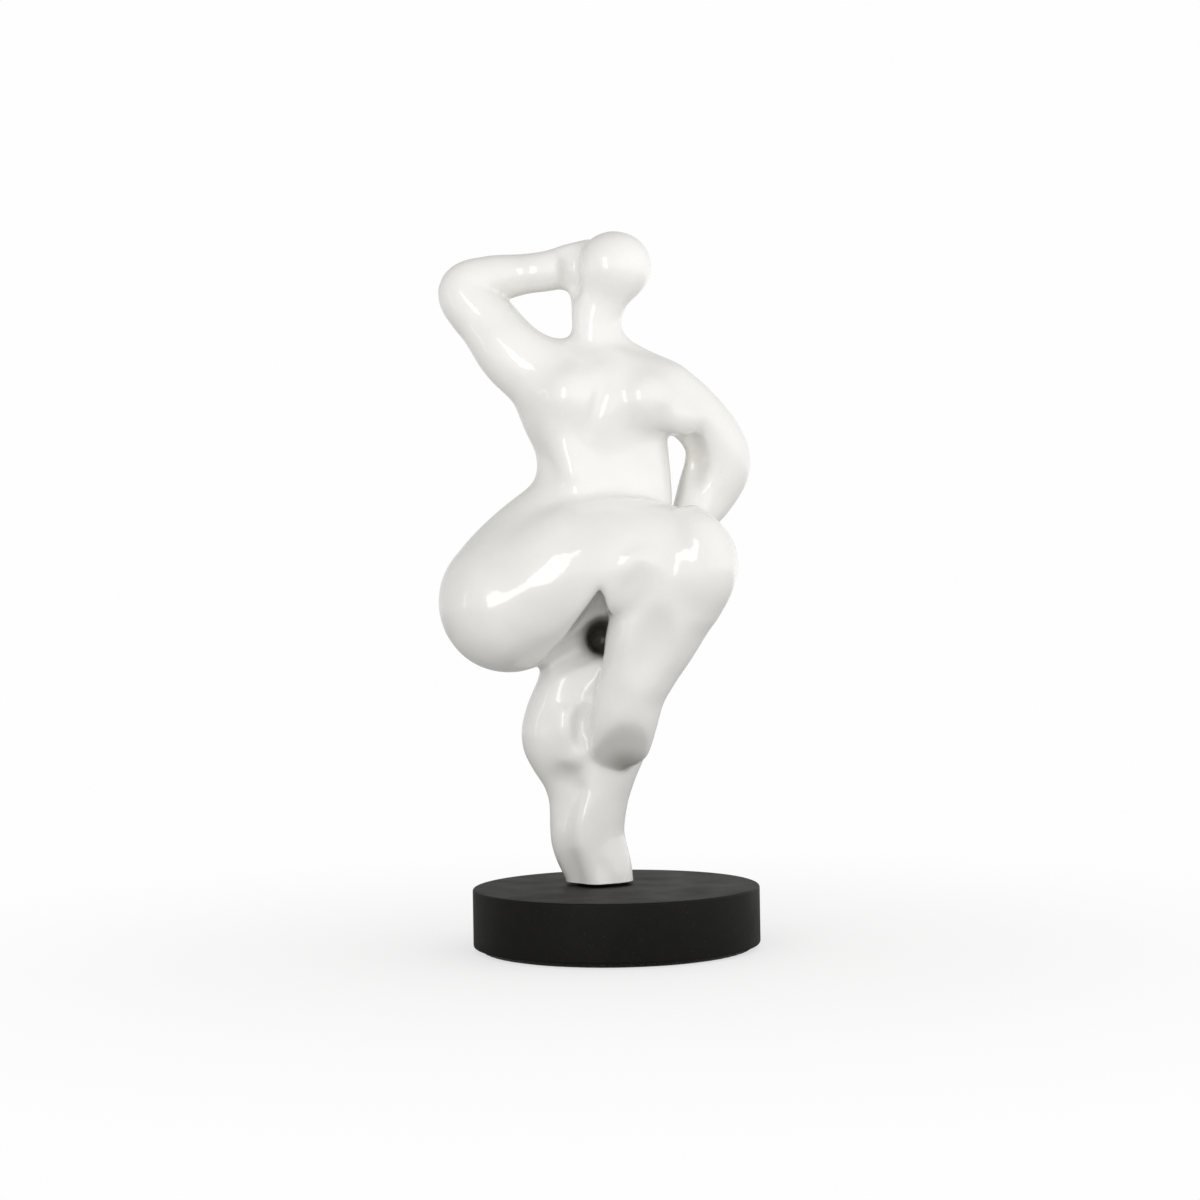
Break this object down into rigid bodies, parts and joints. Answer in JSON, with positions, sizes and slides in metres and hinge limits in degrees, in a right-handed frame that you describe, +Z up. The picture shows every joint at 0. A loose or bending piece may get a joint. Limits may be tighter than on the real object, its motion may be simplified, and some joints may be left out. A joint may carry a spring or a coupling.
{
  "type": "statuette",
  "caption": "Glazed porcelain statuette of a smooth faceless standing figure, one arm behind the head and one hand on the hip, bolted from below to a round black plinth with a felt foot.",
  "frame": {"origin": "centre of the felt pad's underside, the face the statuette stands on", "axes": "+Z up, the figure faces -Y, and its raised arm points towards -X"},
  "size_m": [0.1549, 0.14, 0.3494],
  "materials": {
    "glazed_porcelain": "glossy white glaze",
    "plaster": "cast plaster, matt",
    "black_rubber": "matt",
    "black_lacquer": "matt black lacquer",
    "zinc_steel": "zinc plated",
    "black_felt": "felt"
  },
  "bodies": {
    "root": {"figure_shell": "glazed_porcelain", "anchor_plug": "plaster", "foot_gasket": "black_rubber", "plinth_disc": "black_lacquer", "threaded_rod": "zinc_steel", "flat_washer": "zinc_steel", "spring_washer": "zinc_steel", "hex_nut": "zinc_steel", "felt_pad": "black_felt"}
  },
  "joints": []
}
